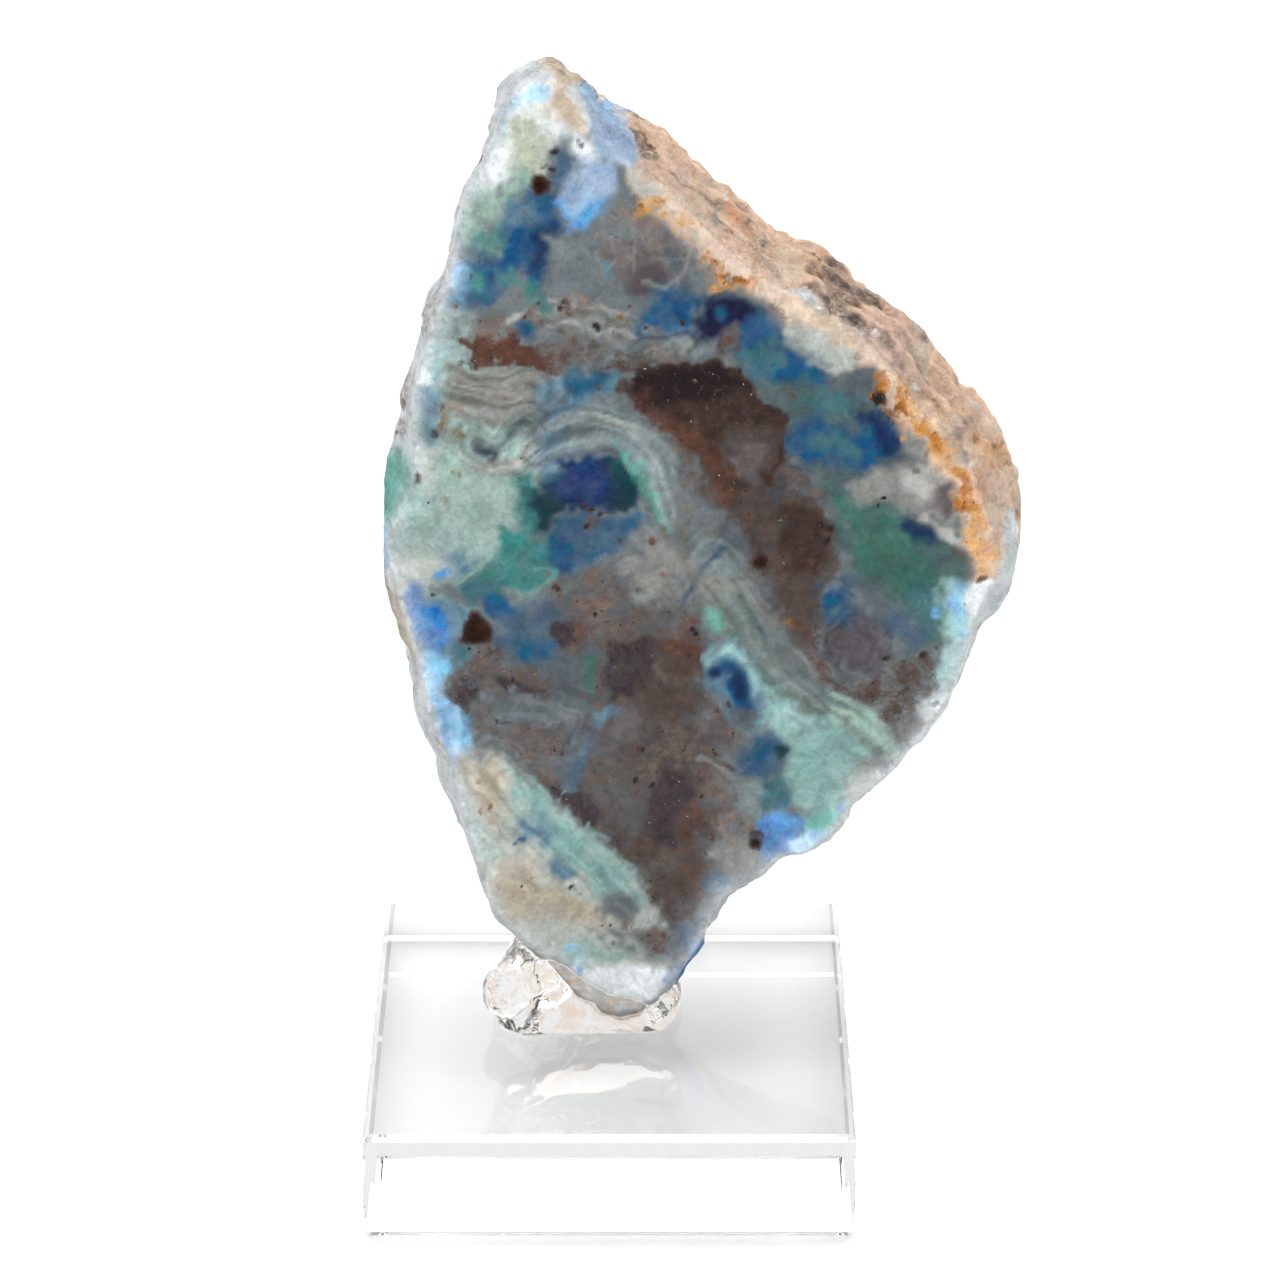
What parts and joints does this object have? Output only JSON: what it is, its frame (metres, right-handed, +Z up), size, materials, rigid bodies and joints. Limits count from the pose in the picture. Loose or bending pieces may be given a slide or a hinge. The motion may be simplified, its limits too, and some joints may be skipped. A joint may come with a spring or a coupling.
{
  "type": "azurite malachite specimen",
  "caption": "Rough azurite and malachite stone with one polished flat face, held upright by clear putty on a flat clear block.",
  "frame": {"origin": "middle of the clear block's underside, on the surface it rests on", "axes": "+Z up, the stone's longest way; the polished face looks towards -Y and leans back 10 degrees; +X to the right as seen facing it"},
  "size_m": [0.0544, 0.0512, 0.0888],
  "materials": {
    "stone": "satin",
    "putty": "gloss",
    "clear_block": "polished"
  },
  "bodies": {
    "root": {"stone": "stone", "putty": "putty", "clear_block": "clear_block"}
  },
  "joints": []
}
